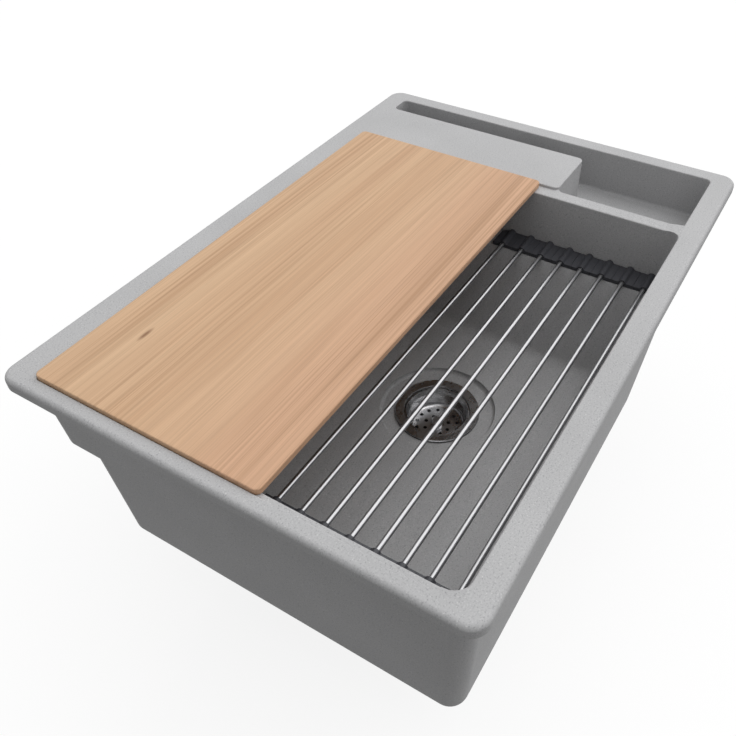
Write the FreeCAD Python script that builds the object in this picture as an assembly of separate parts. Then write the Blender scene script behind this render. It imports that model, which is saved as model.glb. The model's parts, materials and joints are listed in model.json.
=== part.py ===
"""Drop-in granite composite kitchen sink with a wooden board, a roll-up rack and a basket strainer.

Millimetres. X runs along the sink, towards the accessory pocket. -Y is the side where the user
stands. Z is up, and Z = 0 is the underside of the rim, which lies on the worktop.
"""

import FreeCAD, Part
import math
import os

from FreeCAD import Vector

# Rim
rim_length = 787.0
rim_width = 559.0
rim_thickness = 16.0
rim_corner_radius = 20.0
rim_edge_radius = 6.0
rim_lower_edge_radius = 2.0

# Bowl opening, measured at the top of the rim
bowl_margin_left = 24.5
bowl_margin_front = 28.5
bowl_margin_back = 47.5
bowl_corner_radius = 16.0
inner_edge_radius = 1.6

# Seat sunk beside the opening, on which the board lies and slides
seat_depth = 3.5
seat_width_left = 6.5
seat_width_back = 10.0
seat_past_divider = 1.0
seat_stop_front = 4.0
seat_run_out = 20.0
seat_corner_past_seat = 1.0

# Shelf inside the bowl, on which the rack lies
shelf_depth = 79.0
shelf_thickness = 9.0
shelf_width_left = 9.0
shelf_width_front = 4.0
shelf_width_back = 49.0
shelf_width_right = 36.0
shelf_edge_radius = 3.0

# Lower bowl
bowl_depth = 209.0
floor_thickness = 12.5
floor_fall = 2.5
floor_flat_margin = 24.0
lower_corner_radius = 26.0
floor_edge_radius = 18.0
lower_wall = 14.0

# Outer walls
upper_wall = 10.0
skirt_inset = 11.8
skirt_corner_radius = 20.0
skirt_bottom_radius = 6.0
outer_draft_degrees = 3.6
inner_draft_degrees = 2.0
lower_draft_degrees = 1.5
end_slope_degrees = 21.0

# Accessory pocket and the slot that opens into it
pocket_margin_right = 26.0
pocket_margin_front = 30.0
slot_margin_back = 32.5
pocket_length = 130.0
pocket_width = 174.5
slot_width = 33.5
pocket_depth = 63.0
pocket_corner_radius = 8.0
pocket_floor_radius = 5.0
pocket_wall = 9.0
divider_width = 18.5
deck_corner_radius = 8.0

# Drain in the floor
drain_length_share = 0.675
drain_width_share = 0.481
recess_radius = 78.0
recess_depth = 7.0
recess_edge_radius = 4.0
boss_margin = 10.0
boss_wall = 12.0
drain_hole_radius = 45.0

# Strainer body
flange_radius = 57.0
flange_thickness = 1.8
flange_edge_radius = 0.8
cup_radius = 42.0
cup_sheet = 1.5
cup_depth = 50.0
cup_mouth_flare = 5.5
cup_mouth_depth = 9.0
cup_bottom_radius = 8.0
outlet_radius = 21.0
spigot_length = 24.0
spigot_wall = 2.5

# Strainer seals and nuts
gasket_thickness = 2.0
gasket_inset = 2.5
under_gasket_thickness = 3.0
under_gasket_width = 13.0
friction_washer_thickness = 1.0
lock_nut_height = 12.0
lock_nut_width = 14.0
lock_nut_lug_count = 6
lock_nut_lug_length = 5.0
lock_nut_lug_width = 14.0
nut_clearance = 0.15

# Tailpiece
tail_radius = 19.0
tail_wall = 1.5
tail_length = 70.0
tail_neck_length = 8.0
tail_neck_relief = 0.4
tail_flange_thickness = 2.0
tail_washer_thickness = 2.5
coupling_height = 20.0
coupling_wall = 4.5
coupling_lip = 3.0
coupling_flat_count = 8

# Strainer basket
basket_clearance = 1.0
basket_sheet = 1.2
basket_depth = 30.0
basket_lip_drop = 3.0
basket_bottom_radius = 6.0
basket_hole_radius = 2.6
basket_ring_shares = (0.42, 0.72)
basket_ring_counts = (8, 14)
post_radius = 4.0
post_nut_radius = 7.0
post_nut_height = 3.0
knob_radius = 8.0
knob_height = 9.0
knob_waist_share = 0.62
stopper_overlap = 4.0
stopper_thickness = 5.0

# Board
board_width = 291.0
board_thickness = 8.0
board_edge_radius = 1.5
board_clearance = 0.5

# Roll-up rack
rod_count = 8
rod_radius = 3.0
rod_pitch = 29.2
rod_insertion = 31.0
strip_width = 35.0
strip_web = 5.0
strip_hump_wall = 2.0
strip_blend_radius = 3.0
strip_corner_radius = 9.0
strip_end_clearance = 1.2
rack_front_clearance = 4.0
link_gap = 0.4
bore_clearance = 0.05

# Fits
seat_gap = 0.3
overrun = 2.0
touch_share = 0.05

# Derived heights
touch = seat_gap * touch_share
rim_top = rim_thickness
seat_z = rim_top - seat_depth
shelf_z = rim_top - shelf_depth
shelf_under_z = shelf_z - shelf_thickness
floor_z = rim_top - bowl_depth
bottom_z = floor_z - floor_thickness
pocket_z = rim_top - pocket_depth
pocket_under_z = pocket_z - pocket_wall
recess_z = floor_z - floor_fall - recess_depth
boss_z = recess_z - boss_wall

# Derived plan of the bowl
pocket_right = rim_length / 2 - pocket_margin_right
pocket_left = pocket_right - pocket_length
bowl_left = -rim_length / 2 + bowl_margin_left
bowl_right = pocket_left - divider_width
bowl_front = -rim_width / 2 + bowl_margin_front
bowl_back = rim_width / 2 - bowl_margin_back
pocket_front = -rim_width / 2 + pocket_margin_front
pocket_back = pocket_front + pocket_width
slot_left = pocket_right - slot_width
slot_back = rim_width / 2 - slot_margin_back
seat_right = pocket_left + seat_past_divider
seat_corner_radius = seat_width_left + seat_corner_past_seat


def slope(height, degrees):
    return height * math.tan(math.radians(degrees))


def shrink(rect, left, right, front, back):
    x0, x1, y0, y1 = rect
    return x0 + left, x1 - right, y0 + front, y1 - back


def inset(rect, amount):
    return shrink(rect, amount, amount, amount, amount)


def rectangle(rect, z):
    x0, x1, y0, y1 = rect
    return [Vector(x0, y0, z), Vector(x1, y0, z), Vector(x1, y1, z), Vector(x0, y1, z)]


def frustum(top, bottom, z_top, z_bottom):
    """A block with flat sloping sides between two level rectangles."""
    upper = rectangle(top, z_top)
    lower = rectangle(bottom, z_bottom)
    loops = [upper, lower]
    for i in range(len(upper)):
        j = (i + 1) % len(upper)
        loops.append([upper[i], upper[j], lower[j], lower[i]])
    faces = [Part.Face(Part.makePolygon(loop + loop[:1])) for loop in loops]
    return Part.Solid(Part.Shell(faces))


def upright_edges(shape):
    return [e for e in shape.Edges if abs(e.Vertexes[0].Z - e.Vertexes[-1].Z) > touch]


def level_edges(shape, z):
    found = []
    for e in shape.Edges:
        heights = [v.Z for v in e.Vertexes] + [e.valueAt(sum(e.ParameterRange) / 2).z]
        if max(abs(h - z) for h in heights) < touch:
            found.append(e)
    return found


def edges_in(shape, z, rect):
    """The level edges at one height that lie inside a rectangle."""
    x0, x1, y0, y1 = inset(rect, -touch)
    found = []
    for e in level_edges(shape, z):
        points = [v.Point for v in e.Vertexes]
        if all(x0 <= p.x <= x1 and y0 <= p.y <= y1 for p in points):
            found.append(e)
    return found


def round_block(block, radius):
    return block.makeFillet(radius, upright_edges(block))


def drafted(top, z_top, z_bottom, degrees, corner_radius):
    """A block whose four sides lean in towards the bottom, with rounded upright corners."""
    bottom = inset(top, slope(z_top - z_bottom, degrees))
    return round_block(frustum(top, bottom, z_top, z_bottom), corner_radius)


def slab(rect, z_bottom, z_top, corner_radius):
    return round_block(frustum(rect, rect, z_top, z_bottom), corner_radius)


def disc(x, y, radius, z_bottom, z_top):
    return Part.makeCylinder(radius, z_top - z_bottom, Vector(x, y, z_bottom))


def ring(x, y, outer, inner, z_bottom, z_top):
    bore = disc(x, y, inner, z_bottom - overrun, z_top + overrun)
    return disc(x, y, outer, z_bottom, z_top).cut(bore)


def revolved(x, y, points):
    """A turned piece from a closed outline of (radius, height) points."""
    outline = [Vector(x + r, y, z) for r, z in points]
    face = Part.Face(Part.makePolygon(outline + outline[:1]))
    return face.revolve(Vector(x, y, 0), Vector(0, 0, 1), 360)


def round_turned(shape, radius, z, amount):
    """Rounds the circular edge that a turned piece has at one radius and height."""
    edges = [e for e in level_edges(shape, z) if abs(e.Curve.Radius - radius) < touch]
    return shape.makeFillet(amount, edges)


def export(name, shape):
    shape.exportStep("parts/" + name + ".step")


# Sink basin


def rim_plate():
    half_length = rim_length / 2
    half_width = rim_width / 2
    plate = slab((-half_length, half_length, -half_width, half_width), 0, rim_top, rim_corner_radius)
    plate = plate.makeFillet(rim_edge_radius, level_edges(plate, rim_top))
    return plate.makeFillet(rim_lower_edge_radius, level_edges(plate, 0))


def shelf_plan():
    """The upper bowl's inside walls where they reach the shelf."""
    opening = (bowl_left, bowl_right, bowl_front, bowl_back)
    return inset(opening, slope(shelf_depth, inner_draft_degrees))


def lower_plan():
    """The lower bowl's inside walls at the level of the shelf."""
    return shrink(shelf_plan(), shelf_width_left, shelf_width_right, shelf_width_front, shelf_width_back)


def further_down(plan, height, degrees):
    """A plan of the lower bowl at a lower height: three steep walls and the sloping end wall."""
    steep = slope(height, degrees)
    return shrink(plan, steep, slope(height, end_slope_degrees), steep, steep)


def floor_plan():
    return further_down(lower_plan(), shelf_z - floor_z, lower_draft_degrees)


def drain_place():
    x0, x1, y0, y1 = floor_plan()
    return x0 + (x1 - x0) * drain_length_share, y0 + (y1 - y0) * drain_width_share


drain_x, drain_y = drain_place()


def upper_tub():
    skirt = (
        -rim_length / 2 + skirt_inset,
        bowl_right + upper_wall,
        -rim_width / 2 + skirt_inset,
        bowl_back + upper_wall,
    )
    overlap = rim_thickness / 2
    bottom = inset(skirt, slope(-shelf_under_z, outer_draft_degrees))
    top = inset(skirt, -slope(overlap, outer_draft_degrees))
    return round_block(frustum(top, bottom, overlap, shelf_under_z), skirt_corner_radius)


def lower_tub():
    """The deep part of the basin, whose left and front walls run on from the skirt."""
    lower = lower_plan()
    skirt_left = -rim_length / 2 + skirt_inset
    skirt_front = -rim_width / 2 + skirt_inset
    start_z = shelf_under_z + shelf_thickness / 2
    start = slope(-start_z, outer_draft_degrees)
    plan = (
        skirt_left + start,
        lower[1] + lower_wall,
        skirt_front + start,
        lower[3] + lower_wall,
    )
    base = further_down(plan, start_z - bottom_z, outer_draft_degrees)
    tub = round_block(frustum(plan, base, start_z, bottom_z), skirt_corner_radius)
    return tub.makeFillet(skirt_bottom_radius, level_edges(tub, bottom_z))


def pocket_housing():
    overlap = rim_thickness / 2
    pocket = (bowl_right, pocket_right, pocket_front, pocket_back)
    slot = (slot_left, pocket_right, pocket_back - pocket_corner_radius, slot_back)
    blocks = []
    for rect in (pocket, slot):
        outer = inset(rect, -pocket_wall)
        blocks.append(drafted(outer, overlap, pocket_under_z, outer_draft_degrees, pocket_corner_radius))
    return blocks


def bowl_cavity():
    """The hollows of the upper and the lower bowl."""
    rise = rim_thickness
    opening = (bowl_left, bowl_right, bowl_front, bowl_back)
    wide = inset(opening, -slope(rise, inner_draft_degrees))
    upper = round_block(
        frustum(wide, shelf_plan(), rim_top + rise, shelf_z),
        bowl_corner_radius,
    )
    lift = shelf_depth / 2
    start = further_down(lower_plan(), -lift, lower_draft_degrees)
    lower = round_block(frustum(start, floor_plan(), shelf_z + lift, floor_z), lower_corner_radius)
    lower = lower.makeFillet(floor_edge_radius, level_edges(lower, floor_z))
    return upper, lower


def floor_falls():
    """The floor's four slopes, ruled from a rounded rectangle down to the drain recess."""
    x0, x1, y0, y1 = inset(floor_plan(), floor_flat_margin)
    corner = lower_corner_radius
    diagonal = corner * math.cos(math.pi / 4)
    starts = [(x1, y0 + corner), (x1 - corner, y1), (x0, y1 - corner), (x0 + corner, y0)]
    ends = [(x1, y1 - corner), (x0 + corner, y1), (x0, y0 + corner), (x1 - corner, y0)]
    centres = [
        (x1 - corner, y1 - corner, 1, 1),
        (x0 + corner, y1 - corner, -1, 1),
        (x0 + corner, y0 + corner, -1, -1),
        (x1 - corner, y0 + corner, 1, -1),
    ]
    edges = []
    for i, (cx, cy, sx, sy) in enumerate(centres):
        first = Vector(*starts[i], floor_z)
        last = Vector(*ends[i], floor_z)
        mid = Vector(cx + sx * diagonal, cy + sy * diagonal, floor_z)
        following = Vector(*starts[(i + 1) % len(starts)], floor_z)
        edges.append(Part.LineSegment(first, last).toShape())
        edges.append(Part.Arc(last, mid, following).toShape())
    outline = Part.Wire(edges)
    low = floor_z - floor_fall
    points = []
    for edge in edges:
        p = edge.Vertexes[0].Point
        angle = math.atan2(p.y - drain_y, p.x - drain_x)
        points.append(angle)
    arcs = []
    for i, angle in enumerate(points):
        end = points[(i + 1) % len(points)]
        if end < angle:
            end += 2 * math.pi
        stops = (angle, (angle + end) / 2, end)
        arc = [
            Vector(drain_x + recess_radius * math.cos(a), drain_y + recess_radius * math.sin(a), low)
            for a in stops
        ]
        arcs.append(Part.Arc(*arc).toShape())
    falls = Part.makeLoft([outline, Part.Wire(arcs)], True, True)
    cover = Part.Face(outline).extrude(Vector(0, 0, floor_fall))
    return falls.fuse(cover)


def drain_cuts():
    recess = disc(drain_x, drain_y, recess_radius, recess_z, floor_z + recess_depth)
    recess = recess.makeFillet(recess_edge_radius, level_edges(recess, recess_z))
    hole = disc(drain_x, drain_y, drain_hole_radius, boss_z - overrun, recess_z + overrun)
    return recess, hole


def pocket_cavity():
    rise = rim_thickness
    pocket = (pocket_left, pocket_right, pocket_front, pocket_back)
    slot = (slot_left, pocket_right, pocket_front + pocket_width / 2, slot_back)
    both = slab(pocket, pocket_z, rim_top + rise, pocket_corner_radius)
    both = both.fuse(slab(slot, pocket_z, rim_top + rise, pocket_corner_radius)).removeSplitter()
    corner = [
        e
        for e in upright_edges(both)
        if abs(e.Vertexes[0].X - slot_left) < touch and abs(e.Vertexes[0].Y - pocket_back) < touch
    ]
    both = both.makeFillet(pocket_corner_radius, corner)
    both = both.makeFillet(pocket_floor_radius, level_edges(both, pocket_z))
    over_divider = (pocket_left, pocket_left + pocket_corner_radius, pocket_front, pocket_back)
    return both.fuse(frustum(over_divider, over_divider, rim_top + rise, seat_z))


def seat_plan():
    return (
        bowl_left - seat_width_left,
        seat_right,
        bowl_front + bowl_corner_radius + seat_stop_front,
        bowl_back + seat_width_back,
    )


def seat_cut():
    return slab(seat_plan(), seat_z, rim_top + rim_thickness, seat_corner_radius)


def seat_slope():
    """The seat's front end, which rises to the rim without a step."""
    left, right, front, _ = seat_plan()
    behind = front + seat_corner_radius
    above = rim_top + seat_depth
    points = [
        Vector(left, behind, seat_z),
        Vector(left, front, seat_z),
        Vector(left, front - seat_run_out - seat_run_out, above),
        Vector(left, behind, above),
    ]
    outline = Part.makePolygon([*points, points[0]])
    return Part.Face(outline).extrude(Vector(right - left, 0, 0))


def deck_corner_cut():
    """What is taken off to round the deck's corner between the seat and the pocket."""
    x = seat_right + deck_corner_radius
    y = pocket_back + deck_corner_radius
    above = rim_top + rim_thickness
    square = (seat_right, x, pocket_back, y)
    return frustum(square, square, above, seat_z).cut(disc(x, y, deck_corner_radius, seat_z, above))


def sink_basin():
    basin = rim_plate().fuse([upper_tub(), lower_tub(), *pocket_housing()])
    boss_radius = recess_radius + boss_margin
    basin = basin.fuse(disc(drain_x, drain_y, boss_radius, boss_z, floor_z)).removeSplitter()
    cuts = [seat_cut(), *bowl_cavity(), floor_falls(), *drain_cuts(), pocket_cavity(), deck_corner_cut()]
    basin = basin.cut(cuts).removeSplitter()
    basin = basin.makeFillet(shelf_edge_radius, edges_in(basin, shelf_z, lower_plan()))
    opening = (bowl_left, bowl_right, bowl_front, bowl_back)
    basin = basin.makeFillet(inner_edge_radius, edges_in(basin, seat_z, opening))
    half_length = rim_length / 2 - rim_edge_radius - inner_edge_radius
    half_width = rim_width / 2 - rim_edge_radius - inner_edge_radius
    rim = (-half_length, half_length, -half_width, half_width)
    basin = basin.makeFillet(inner_edge_radius, edges_in(basin, rim_top, rim))
    return basin.cut(seat_slope()).removeSplitter()


# Drain


def flange_top():
    return recess_z + gasket_thickness + flange_thickness


def strainer_body():
    """A pressed cup with a flared mouth and a flat flange."""
    top = flange_top()
    under = top - flange_thickness
    inner = cup_radius - cup_sheet
    mouth = inner + cup_mouth_flare
    bottom = top - cup_depth
    cup = revolved(
        drain_x,
        drain_y,
        [
            (flange_radius, under),
            (flange_radius, top - flange_edge_radius),
            (flange_radius - flange_edge_radius, top),
            (mouth, top - flange_edge_radius),
            (inner, top - cup_mouth_depth),
            (inner, bottom),
            (outlet_radius, bottom),
            (outlet_radius, bottom - cup_sheet),
            (cup_radius, bottom - cup_sheet),
            (cup_radius, under - cup_mouth_depth),
            (mouth - cup_sheet, under),
        ],
    )
    cup = round_turned(cup, inner, bottom, cup_bottom_radius)
    return round_turned(cup, cup_radius, bottom - cup_sheet, cup_bottom_radius + cup_sheet)


def outlet_stub():
    """The threaded tube brazed under the cup."""
    top = flange_top() - cup_depth - cup_sheet
    return ring(drain_x, drain_y, outlet_radius + spigot_wall, outlet_radius, spigot_end(), top)


def flange_gasket():
    bore = drain_hole_radius + gasket_inset
    return ring(drain_x, drain_y, flange_radius, bore, recess_z, recess_z + gasket_thickness)


def under_stack():
    """Heights of the pieces under the basin, from the boss down."""
    gasket = boss_z - under_gasket_thickness
    washer = gasket - friction_washer_thickness
    nut = washer - lock_nut_height
    return gasket, washer, nut


def underside_gasket():
    bore = cup_radius + nut_clearance
    return ring(drain_x, drain_y, bore + under_gasket_width, bore, under_stack()[0], boss_z)


def friction_washer():
    gasket, washer, nut = under_stack()
    bore = cup_radius + nut_clearance
    return ring(drain_x, drain_y, bore + under_gasket_width, bore, washer, gasket)


def lock_nut():
    gasket, washer, nut = under_stack()
    bore = cup_radius + nut_clearance
    outer = bore + lock_nut_width
    body = ring(drain_x, drain_y, outer, bore, nut, washer)
    lugs = []
    for i in range(lock_nut_lug_count):
        start = outer - lock_nut_lug_length
        lug = Part.makeBox(
            2 * lock_nut_lug_length,
            lock_nut_lug_width,
            lock_nut_height,
            Vector(drain_x + start, drain_y - lock_nut_lug_width / 2, nut),
        )
        lug.rotate(Vector(drain_x, drain_y, 0), Vector(0, 0, 1), 360 * i / lock_nut_lug_count)
        lugs.append(lug)
    return body.fuse(lugs).removeSplitter()


def spigot_end():
    return flange_top() - cup_depth - spigot_length


def tailpiece_washer():
    top = spigot_end()
    outer = outlet_radius + spigot_wall
    return ring(drain_x, drain_y, outer, tail_radius - tail_wall, top - tail_washer_thickness, top)


def tailpiece():
    """A flanged tube, turned down a little under the flange to clear the coupling nut."""
    top = spigot_end() - tail_washer_thickness
    outer = outlet_radius + spigot_wall
    under = top - tail_flange_thickness
    neck = under - tail_neck_length
    low = top - tail_length
    bore = tail_radius - tail_wall
    waist = tail_radius - tail_neck_relief
    return revolved(
        drain_x,
        drain_y,
        [
            (bore, top),
            (outer, top),
            (outer, under),
            (waist, under),
            (waist, neck),
            (tail_radius, neck),
            (tail_radius, low),
            (bore, low),
        ],
    )


def coupling_nut():
    bore = outlet_radius + spigot_wall + nut_clearance
    outer = bore + coupling_wall
    floor = spigot_end() - tail_washer_thickness - tail_flange_thickness - nut_clearance
    low = floor - coupling_lip
    body = revolved(
        drain_x,
        drain_y,
        [
            (bore, low + coupling_height),
            (outer, low + coupling_height),
            (outer, low),
            (tail_radius + nut_clearance, low),
            (tail_radius + nut_clearance, floor),
            (bore, floor),
        ],
    )
    flats = Part.makePolygon(
        [
            Vector(
                drain_x + outer * math.cos(2 * math.pi * i / coupling_flat_count),
                drain_y + outer * math.sin(2 * math.pi * i / coupling_flat_count),
                low,
            )
            for i in range(coupling_flat_count + 1)
        ]
    )
    prism = Part.Face(flats).extrude(Vector(0, 0, coupling_height))
    return body.common(prism)


# Basket


def basket_levels():
    cup_floor = flange_top() - cup_depth
    lip = flange_top() - basket_lip_drop
    return lip, lip - basket_depth, cup_floor


def basket_radius():
    return cup_radius - cup_sheet - basket_clearance


def strainer_basket():
    lip, base, cup_floor = basket_levels()
    outer = basket_radius()
    inner = outer - basket_sheet
    share = 1 - basket_lip_drop / cup_mouth_depth
    flare = cup_mouth_flare * share
    shoulder = base + basket_depth - (cup_mouth_depth - basket_lip_drop)
    shell = revolved(
        drain_x,
        drain_y,
        [
            (outer + flare, lip),
            (inner + flare, lip),
            (inner, shoulder),
            (inner, base + basket_sheet),
            (post_radius, base + basket_sheet),
            (post_radius, base),
            (outer, base),
            (outer, shoulder),
        ],
    )
    shell = round_turned(shell, inner, base + basket_sheet, basket_bottom_radius)
    shell = round_turned(shell, outer, base, basket_bottom_radius + basket_sheet)
    holes = []
    for share, count in zip(basket_ring_shares, basket_ring_counts):
        for i in range(count):
            angle = 2 * math.pi * i / count
            x = drain_x + share * outer * math.cos(angle)
            y = drain_y + share * outer * math.sin(angle)
            holes.append(disc(x, y, basket_hole_radius, base - overrun, base + basket_sheet + overrun))
    return shell.cut(holes)


def basket_post():
    lip, base, cup_floor = basket_levels()
    stopper_low = cup_floor + seat_gap
    floor = base + basket_sheet
    shank = disc(drain_x, drain_y, post_radius, stopper_low, floor)
    collar = disc(drain_x, drain_y, post_nut_radius, floor, floor + post_nut_height)
    return shank.fuse(collar).removeSplitter()


def basket_knob():
    lip, base, cup_floor = basket_levels()
    low = base + basket_sheet + post_nut_height
    high = low + knob_height
    waist = knob_radius * knob_waist_share
    crown = knob_radius * (1 - knob_waist_share)
    return revolved(
        drain_x,
        drain_y,
        [
            (0, low),
            (waist, low),
            (waist, low + knob_height / 2),
            (knob_radius, high - crown),
            (waist, high),
            (0, high),
        ],
    )


def basket_stopper():
    lip, base, cup_floor = basket_levels()
    low = cup_floor + seat_gap
    outer = outlet_radius + stopper_overlap
    return ring(drain_x, drain_y, outer, post_radius, low, low + stopper_thickness)


# Board


def cutting_board():
    low = seat_z + seat_gap
    back = bowl_back + seat_width_back - board_clearance
    rect = (
        bowl_left - seat_width_left + board_clearance,
        seat_right - board_clearance,
        back - board_width,
        back,
    )
    board = slab(rect, low, low + board_thickness, seat_corner_radius - board_clearance)
    board = board.makeFillet(board_edge_radius, level_edges(board, low + board_thickness))
    return board.makeFillet(board_edge_radius, level_edges(board, low))


# Rack


def rack_plan():
    plan = shelf_plan()
    left = plan[0] + strip_end_clearance
    right = plan[1] - strip_end_clearance
    first_y = plan[2] + rack_front_clearance + rod_pitch / 2
    return left, right, first_y


def rod_y(index):
    """Rod 1 lies nearest the board, the last one beside the front wall."""
    left, right, front_y = rack_plan()
    return front_y + (rod_count - index) * rod_pitch


def strip_bottom():
    return shelf_z + seat_gap


def rod_z():
    return strip_bottom() + rod_radius + strip_hump_wall / 2


def rack_rod(index):
    left, right, front_y = rack_plan()
    start = left + strip_width - rod_insertion
    length = right - left - 2 * (strip_width - rod_insertion)
    return Part.makeCylinder(rod_radius, length, Vector(start, rod_y(index), rod_z()), Vector(1, 0, 0))


def strip_link(start, index, hole_start, outer_x):
    """One link of an end strip: a flat web with a round-topped sleeve for the rod.

    The first and last links have a rounded outer corner, to clear the corners of the bowl.
    """
    y = rod_y(index)
    low = strip_bottom()
    half = (rod_pitch - link_gap) / 2
    hump = rod_radius + strip_hump_wall
    middle = rod_z()
    web = Part.makeBox(strip_width, 2 * half, strip_web, Vector(start, y - half, low))
    sleeve = Part.makeCylinder(hump, strip_width, Vector(start, y, middle), Vector(1, 0, 0))
    block_height = middle - low
    block = Part.makeBox(strip_width, 2 * hump, block_height, Vector(start, y - hump, low))
    under = Part.makeBox(strip_width, 2 * hump, hump, Vector(start, y - hump, low - hump))
    sleeve = sleeve.cut(under)
    bore = rod_radius + bore_clearance
    hole = Part.makeCylinder(bore, rod_insertion, Vector(hole_start, y, middle), Vector(1, 0, 0))
    link = web.fuse([sleeve, block]).removeSplitter()
    valleys = [
        e for e in level_edges(link, low + strip_web) if all(abs(v.Y - y) < hump for v in e.Vertexes)
    ]
    link = link.makeFillet(strip_blend_radius, valleys).cut(hole)
    side = {1: y + half, rod_count: y - half}.get(index)
    corners = [
        e
        for e in upright_edges(link)
        if side is not None and abs(e.Vertexes[0].X - outer_x) < touch and abs(e.Vertexes[0].Y - side) < touch
    ]
    return link.makeFillet(strip_corner_radius, corners) if corners else link


def rack_links(index):
    left, right, front_y = rack_plan()
    near = strip_link(left, index, left + strip_width - rod_insertion, left)
    far = strip_link(right - strip_width, index, right - strip_width, right)
    return Part.makeCompound([near, far])


os.makedirs("parts", exist_ok=True)
export("sink_basin", sink_basin())
export("strainer_body", strainer_body())
export("outlet_stub", outlet_stub())
export("flange_gasket", flange_gasket())
export("underside_gasket", underside_gasket())
export("friction_washer", friction_washer())
export("lock_nut", lock_nut())
export("tailpiece", tailpiece())
export("tailpiece_washer", tailpiece_washer())
export("coupling_nut", coupling_nut())
export("strainer_basket", strainer_basket())
export("basket_post", basket_post())
export("basket_knob", basket_knob())
export("basket_stopper", basket_stopper())
export("cutting_board", cutting_board())
for number in range(1, rod_count + 1):
    export("rack_rod_%d" % number, rack_rod(number))
    export("rack_links_%d" % number, rack_links(number))
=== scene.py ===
"""Looks of a granite composite kitchen sink: materials, camera, floor and soft studio light."""

import json
import math

import bpy
from mathutils import Matrix, Vector


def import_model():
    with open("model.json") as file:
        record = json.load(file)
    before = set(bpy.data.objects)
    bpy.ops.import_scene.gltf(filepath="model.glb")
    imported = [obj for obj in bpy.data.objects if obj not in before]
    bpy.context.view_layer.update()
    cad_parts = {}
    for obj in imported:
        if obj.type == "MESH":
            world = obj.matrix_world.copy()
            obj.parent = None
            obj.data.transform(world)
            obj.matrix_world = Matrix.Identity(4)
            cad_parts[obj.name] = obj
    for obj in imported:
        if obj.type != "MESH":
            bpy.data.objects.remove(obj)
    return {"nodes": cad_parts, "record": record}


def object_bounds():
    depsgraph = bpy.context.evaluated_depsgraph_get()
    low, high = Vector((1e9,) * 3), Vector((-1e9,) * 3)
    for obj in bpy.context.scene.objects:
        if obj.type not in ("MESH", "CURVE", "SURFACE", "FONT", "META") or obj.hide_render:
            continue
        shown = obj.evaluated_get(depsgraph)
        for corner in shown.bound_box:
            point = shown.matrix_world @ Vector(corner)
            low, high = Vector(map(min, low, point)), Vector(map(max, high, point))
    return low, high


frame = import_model()
cad_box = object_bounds()
nodes = frame["nodes"]

# Camera, fitted to the edges of the rim and the walls. Lengths in metres, angles in degrees.
IMAGE_PX = 736
FOCAL_PX = 779.38
CENTRE_PX = (412.4, 350.0)
CAMERA_PLACE = Vector((-0.66514, -0.38056, 0.57531))
CAMERA_AZIMUTH = -59.254
CAMERA_ELEVATION = 42.624
CAMERA_ROLL = -0.084
CAMERA_REACH = 50.0
SENSOR_MM = 36.0

# Colours are linear
WHITE = (1, 1, 1, 1)
GRANITE = (0.44, 0.44, 0.445)
GRANITE_DARK = (0.27, 0.27, 0.28)
GRANITE_LIGHT = (0.62, 0.62, 0.62)
WOOD_PALE = (0.63, 0.425, 0.265)
WOOD_MID = (0.56, 0.355, 0.215)
WOOD_RED = (0.60, 0.365, 0.235)
WOOD_DARK = (0.36, 0.205, 0.11)
WOOD_KNOT = (0.16, 0.07, 0.03)
STEEL = (0.56, 0.56, 0.57)
ROD_STEEL = (0.39, 0.39, 0.40)
SILICONE = (0.042, 0.043, 0.050)
RUBBER = (0.035, 0.035, 0.036)
FIBRE = (0.45, 0.34, 0.22)
PLASTIC = (0.72, 0.72, 0.70)

# Stops are (level, colour or brightness) pairs, ranges are (least, most) and bumps are (strength, height)

# Granite: grains, a faint cloud of lighter and darker patches, and the pebbled surface
GRAINS = {"scale": 620.0, "detail": 2.0, "roughness": 0.7}
GRAIN_STOPS = ((0.30, GRANITE_DARK), (0.44, GRANITE), (0.60, GRANITE), (0.74, GRANITE_LIGHT))
CLOUD = {"scale": 9.0, "detail": 2.0}
CLOUD_STOPS = ((0.3, 0.95), (0.7, 1.04))
PEBBLES = {"scale": 900.0, "detail": 2.0}
PEBBLE_BUMP = (0.18, 0.0006)
GRANITE_ROUGHNESS = (0.45, 0.75)
GRANITE_SPECULAR = 0.35

# Wood: layers of noise, drawn out along the board. The front edge is marked by the place across the board.
DRIFT = {"stretch": (1.6, 7.0, 7.0), "detail": 1.0}
BANDS = {"stretch": (0.8, 26.0, 26.0), "detail": 2.0, "distortion": 0.3}
LINES = {"stretch": (1.1, 130.0, 130.0), "detail": 3.0, "roughness": 0.6, "distortion": 0.25}
FIBRES = {"stretch": (7.0, 620.0, 620.0), "detail": 3.0, "roughness": 0.65}
STREAKS = {"stretch": (1.6, 400.0, 400.0), "shift": (1.0, 2.0, 0.0), "detail": 2.0, "roughness": 0.6}
GROUPS = {"stretch": (0.5, 17.0, 17.0), "shift": (3.0, 1.0, 0.0), "detail": 1.0}
FIGURE = {"stretch": (0.9, 9.0, 9.0), "detail": 1.0, "distortion": 0.3}
DRIFT_REACH = 0.09
FRONT_STOPS = ((0.02, 1.0), (0.15, 0.0))
FRONT_RED_SHARE = 0.8
BAND_STOPS = ((0.3, WOOD_MID), (0.68, WOOD_PALE))
LINE_STOPS = ((0.47, 0.0), (0.68, 1.0))
LINE_GROUP_STOPS = ((0.38, 0.12), (0.6, 0.55))
STREAK_STOPS = ((0.5, 0.0), (0.62, 1.0))
STREAK_GROUP_STOPS = ((0.36, 0.12), (0.6, 0.5))
RING_COUNT = 55.0
RING_STOPS = ((0.3, 0.0), (1.0, 0.2))
FIBRE_STOPS = ((0.34, 0.9), (0.62, 1.04))
FIBRE_BUMP = (0.10, 0.0004)
WOOD_ROUGHNESS = (0.5, 0.75)
WOOD_SPECULAR = 0.3
KNOT_PLACE = (-0.2720, 0.1870, 0.0208)
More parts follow.
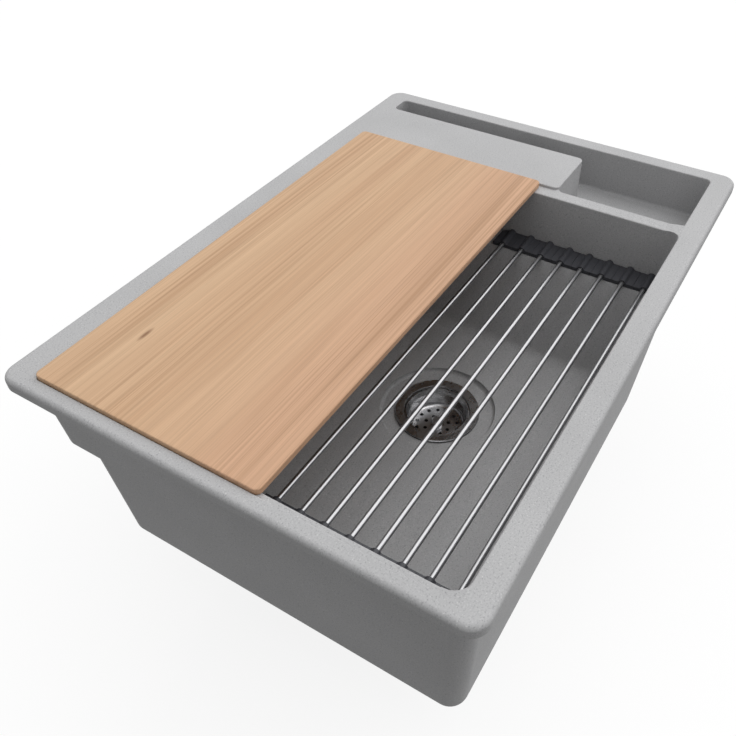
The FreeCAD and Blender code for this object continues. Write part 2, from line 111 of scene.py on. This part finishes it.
KNOT_STRETCH = (70.0, 300.0, 100.0)
KNOT_STOPS = ((0.0, 0.0), (0.7, 1.0))
KNOT_SHARE = 0.75

# Steel: colour, roughness and how the marks are drawn out
STEELS = {
    "steel": (STEEL, 0.28, (60.0, 60.0, 500.0)),
    "rod_steel": (ROD_STEEL, 0.34, (12.0, 900.0, 900.0)),
}
MARKS = {"detail": 3.0, "roughness": 0.6}
MARK_DARK_SHARE = 0.86
MARK_ROUGHNESS_SHARES = (0.6, 1.4)
MARK_BUMP = (0.05, 0.0002)

# Rubber, silicone, plastic and fibre: colour, roughness and scale of the texture
SOFTS = {
    "silicone": (SILICONE, 0.5, 700.0),
    "seal": (RUBBER, 0.5, 500.0),
    "fibre": (FIBRE, 0.7, 800.0),
    "plastic": (PLASTIC, 0.4, 300.0),
    "plastic_washer": (PLASTIC, 0.35, 200.0),
}
SOFT_DETAIL = 3.0
SOFT_COLOUR_SHARES = (0.8, 1.15)
SOFT_ROUGHNESS_SPREAD = 0.1
SOFT_SPECULAR = 0.4
SOFT_BUMP = (0.10, 0.0004)

# Floor and light
FLOOR_MARGIN = 0.002
FLOOR_SIZE = 12.0
FLOOR_BOUNCE = (0.06, 0.06, 0.06)
FLOOR_SEEN = (1.0, 1.0, 1.0)
FLOOR_ROUGHNESS = 0.9
FLOOR_GLOW = 0.86
SKY = 0.41
SUN_POWER = 2.35
SUN_FROM = (0.55, -0.22, 1.0)
SUN_SPREAD = 90.0

# Sockets of the mix node when it mixes colours, and where a ramp gets a new stop before it is set
MIX_FACTOR, MIX_FIRST, MIX_SECOND = 0, 6, 7
MIX_RESULT = 2
NEW_STOP = 0.5


def scaled(colour, share):
    return tuple(share * c for c in colour)


class Material:
    """A node material, with short calls for the nodes that lead to its surface shader."""

    def __init__(self, name):
        self.material = bpy.data.materials.new(name)
        self.material.use_nodes = True
        self.tree = self.material.node_tree
        self.shader = self.tree.nodes["Principled BSDF"]

    def node(self, kind, **sockets):
        made = self.tree.nodes.new("ShaderNode" + kind)
        for name, value in sockets.items():
            self.feed(made.inputs[name.replace("_", " ")], value)
        return made

    def feed(self, socket, value):
        if isinstance(value, bpy.types.NodeSocket):
            self.tree.links.new(value, socket)
        else:
            socket.default_value = value

    def set(self, **sockets):
        for name, value in sockets.items():
            if isinstance(value, tuple) and len(value) == 3:
                value = (*value, 1.0)
            self.feed(self.shader.inputs[name.replace("_", " ")], value)

    def place(self, stretch=(1, 1, 1), shift=(0, 0, 0)):
        """Positions on the object in metres, stretched and moved."""
        coordinates = self.node("TexCoord").outputs["Object"]
        return self.node("Mapping", Vector=coordinates, Scale=stretch, Location=shift).outputs["Vector"]

    def noise(self, where, scale, detail=3.0, roughness=0.5, distortion=0.0):
        made = self.node(
            "TexNoise",
            Vector=where,
            Scale=scale,
            Detail=detail,
            Roughness=roughness,
            Distortion=distortion,
        )
        return made.outputs["Fac"]

    def layer(self, stretch, shift=(0, 0, 0), **settings):
        """Noise whose size along each axis comes from the stretch."""
        return self.noise(self.place(stretch, shift), 1.0, **settings)

    def ramp(self, value, stops):
        """A colour or brightness for each level of a value."""
        made = self.node("ValToRGB", Fac=value)
        elements = made.color_ramp.elements
        while len(elements) < len(stops):
            elements.new(NEW_STOP)
        for element, (level, colour) in zip(elements, stops):
            element.position = level
            element.color = (*colour, 1.0) if isinstance(colour, tuple) else (colour, colour, colour, 1.0)
        return made.outputs["Color"]

    def mix(self, factor, first, second, mode="MIX"):
        made = self.tree.nodes.new("ShaderNodeMix")
        made.data_type = "RGBA"
        made.blend_type = mode
        for socket, value in ((MIX_FACTOR, factor), (MIX_FIRST, first), (MIX_SECOND, second)):
            if isinstance(value, tuple):
                value = (*value, 1.0)
            self.feed(made.inputs[socket], value)
        return made.outputs[MIX_RESULT]

    def math(self, operation, *values):
        made = self.tree.nodes.new("ShaderNodeMath")
        made.operation = operation
        for socket, value in zip(made.inputs, values):
            self.feed(socket, value)
        return made.outputs["Value"]

    def times(self, first, second):
        return self.math("MULTIPLY", first, second)

    def between(self, value, least, most):
        """A value of 0 to 1, taken to a range."""
        return self.math("MULTIPLY_ADD", value, most - least, least)

    def bump(self, texture, strength, height):
        made = self.node("Bump", Height=texture, Strength=strength, Distance=height)
        self.set(Normal=made.outputs["Normal"])


def granite():
    """Quartz grains in a grey binder, moulded with a matt, slightly pebbled surface."""
    m = Material("granite")
    where = m.place()
    grains = m.noise(where, **GRAINS)
    cloud = m.ramp(m.noise(where, **CLOUD), CLOUD_STOPS)
    m.set(
        Base_Color=m.mix(1.0, m.ramp(grains, GRAIN_STOPS), cloud, "MULTIPLY"),
        Roughness=m.between(grains, *GRANITE_ROUGHNESS),
        Specular_IOR_Level=GRANITE_SPECULAR,
    )
    m.bump(m.noise(where, **PEBBLES), *PEBBLE_BUMP)
    return m.material


def wood():
    """Flat-sawn hardwood with the grain along the board, redder and more figured at the front edge."""
    m = Material("wood")
    across = m.node("SeparateXYZ", Vector=m.node("TexCoord").outputs["Object"]).outputs["Y"]
    reach = m.math("MULTIPLY_ADD", m.layer(**DRIFT), DRIFT_REACH, across)
    front = m.ramp(reach, FRONT_STOPS)
    fibres = m.layer(**FIBRES)
    groups = m.layer(**GROUPS)
    rings = m.math("SINE", m.times(m.layer(**FIGURE), RING_COUNT))
    line_share = m.times(m.ramp(m.layer(**LINES), LINE_STOPS), m.ramp(groups, LINE_GROUP_STOPS))
    streak_share = m.times(m.ramp(m.layer(**STREAKS), STREAK_STOPS), m.ramp(groups, STREAK_GROUP_STOPS))
    ring_share = m.times(m.ramp(rings, RING_STOPS), front)
    colour = m.ramp(m.layer(**BANDS), BAND_STOPS)
    for share, stain in (
        (m.times(front, FRONT_RED_SHARE), WOOD_RED),
        (line_share, WOOD_DARK),
        (streak_share, WOOD_DARK),
        (ring_share, WOOD_DARK),
        (m.times(knot(m), KNOT_SHARE), WOOD_KNOT),
    ):
        colour = m.mix(share, colour, stain)
    m.set(
        Base_Color=m.mix(1.0, colour, m.ramp(fibres, FIBRE_STOPS), "MULTIPLY"),
        Roughness=m.between(fibres, *WOOD_ROUGHNESS),
        Specular_IOR_Level=WOOD_SPECULAR,
    )
    m.bump(fibres, *FIBRE_BUMP)
    return m.material


def knot(m):
    """1 in a small dark streak along the grain, 0 elsewhere."""
    shift = tuple(-k * place for k, place in zip(KNOT_STRETCH, KNOT_PLACE))
    ball = m.node("TexGradient", Vector=m.place(KNOT_STRETCH, shift))
    ball.gradient_type = "SPHERICAL"
    return m.ramp(ball.outputs["Fac"], KNOT_STOPS)


def steel(name, colour, roughness, stretch):
    """Metal with fine marks, drawn out along one direction."""
    m = Material(name)
    marks = m.layer(stretch, **MARKS)
    least, most = MARK_ROUGHNESS_SHARES
    m.set(
        Base_Color=m.mix(marks, scaled(colour, MARK_DARK_SHARE), colour),
        Metallic=1.0,
        Roughness=m.between(marks, least * roughness, most * roughness),
    )
    m.bump(marks, *MARK_BUMP)
    return m.material


def soft(name, colour, roughness, scale):
    """Moulded rubber, silicone, plastic or fibre with a slight texture."""
    m = Material(name)
    texture = m.noise(m.place(), scale, SOFT_DETAIL)
    darkest, lightest = (scaled(colour, share) for share in SOFT_COLOUR_SHARES)
    m.set(
        Base_Color=m.mix(texture, darkest, lightest),
        Roughness=m.between(texture, roughness - SOFT_ROUGHNESS_SPREAD, roughness + SOFT_ROUGHNESS_SPREAD),
        Specular_IOR_Level=SOFT_SPECULAR,
    )
    m.bump(texture, *SOFT_BUMP)
    return m.material


def dress():
    """Gives each piece the finish that its material slot names."""
    finishes = {"granite": granite(), "wood": wood()}
    finishes.update({name: steel(name, *settings) for name, settings in STEELS.items()})
    finishes.update({name: soft(name, *settings) for name, settings in SOFTS.items()})
    for part in frame["record"]["subparts"]:
        for slot in nodes[part["node"]].material_slots:
            slot.material = finishes[part["material_slot"]]


def is_seen(tree):
    """1 for what the camera sees directly, in a reflection or through glass."""
    path = tree.nodes.new("ShaderNodeLightPath").outputs
    total = path["Is Camera Ray"]
    for name in ("Is Glossy Ray", "Is Transmission Ray"):
        either = tree.nodes.new("ShaderNodeMath")
        either.operation = "MAXIMUM"
        tree.links.new(total, either.inputs[0])
        tree.links.new(path[name], either.inputs[1])
        total = either.outputs["Value"]
    return total


def floor():
    """A floor under the tailpiece, which the camera sees as white apart from the shadow."""
    bpy.ops.mesh.primitive_plane_add(size=FLOOR_SIZE, location=(0, 0, cad_box[0][2] - FLOOR_MARGIN))
    plane = bpy.context.object
    plane.name = "floor"
    m = Material("floor")
    seen = is_seen(m.tree)
    m.set(
        Base_Color=m.mix(seen, FLOOR_BOUNCE, FLOOR_SEEN),
        Roughness=FLOOR_ROUGHNESS,
        Specular_IOR_Level=0.0,
    )
    glow = m.node("Emission", Color=WHITE, Strength=1.0)
    blend = m.node("MixShader")
    m.feed(blend.inputs[0], m.times(seen, FLOOR_GLOW))
    m.feed(blend.inputs[1], m.shader.outputs["BSDF"])
    m.feed(blend.inputs[2], glow.outputs["Emission"])
    m.feed(m.tree.nodes["Material Output"].inputs["Surface"], blend.outputs["Shader"])
    plane.data.materials.append(m.material)


def world():
    """An even sky that lights the part, and a white background where it is seen."""
    made = bpy.data.worlds.new("studio")
    made.use_nodes = True
    tree = made.node_tree
    ambient = tree.nodes["Background"]
    ambient.inputs["Color"].default_value = WHITE
    ambient.inputs["Strength"].default_value = SKY
    white = tree.nodes.new("ShaderNodeBackground")
    white.inputs["Color"].default_value = WHITE
    white.inputs["Strength"].default_value = 1.0
    blend = tree.nodes.new("ShaderNodeMixShader")
    tree.links.new(is_seen(tree), blend.inputs[0])
    tree.links.new(ambient.outputs["Background"], blend.inputs[1])
    tree.links.new(white.outputs["Background"], blend.inputs[2])
    tree.links.new(blend.outputs["Shader"], tree.nodes["World Output"].inputs["Surface"])
    bpy.context.scene.world = made


def sun():
    """One broad, soft key light, from above the pocket and a little to the front."""
    data = bpy.data.lights.new("key", "SUN")
    data.energy = SUN_POWER
    data.angle = math.radians(SUN_SPREAD)
    made = bpy.data.objects.new("key", data)
    made.rotation_euler = (-Vector(SUN_FROM)).to_track_quat("-Z", "Y").to_euler()
    bpy.context.collection.objects.link(made)


def camera():
    data = bpy.data.cameras.new("camera")
    data.sensor_width = SENSOR_MM
    data.lens = SENSOR_MM * FOCAL_PX / IMAGE_PX
    data.shift_x = 0.5 - CENTRE_PX[0] / IMAGE_PX
    data.shift_y = CENTRE_PX[1] / IMAGE_PX - 0.5
    data.clip_end = CAMERA_REACH
    azimuth = math.radians(CAMERA_AZIMUTH)
    elevation = math.radians(CAMERA_ELEVATION)
    back = Vector((
        math.sin(azimuth) * math.cos(elevation),
        -math.cos(azimuth) * math.cos(elevation),
        math.sin(elevation),
    ))
    right = Vector((0, 0, 1)).cross(back).normalized()
    turn = Matrix.Rotation(math.radians(CAMERA_ROLL), 4, back)
    pose = Matrix((right, back.cross(right), back)).transposed().to_4x4()
    made = bpy.data.objects.new("camera", data)
    made.matrix_world = Matrix.Translation(CAMERA_PLACE) @ turn @ pose
    bpy.context.collection.objects.link(made)
    bpy.context.scene.camera = made


camera()
dress()
floor()
world()
sun()
bpy.context.scene.view_settings.view_transform = "Standard"
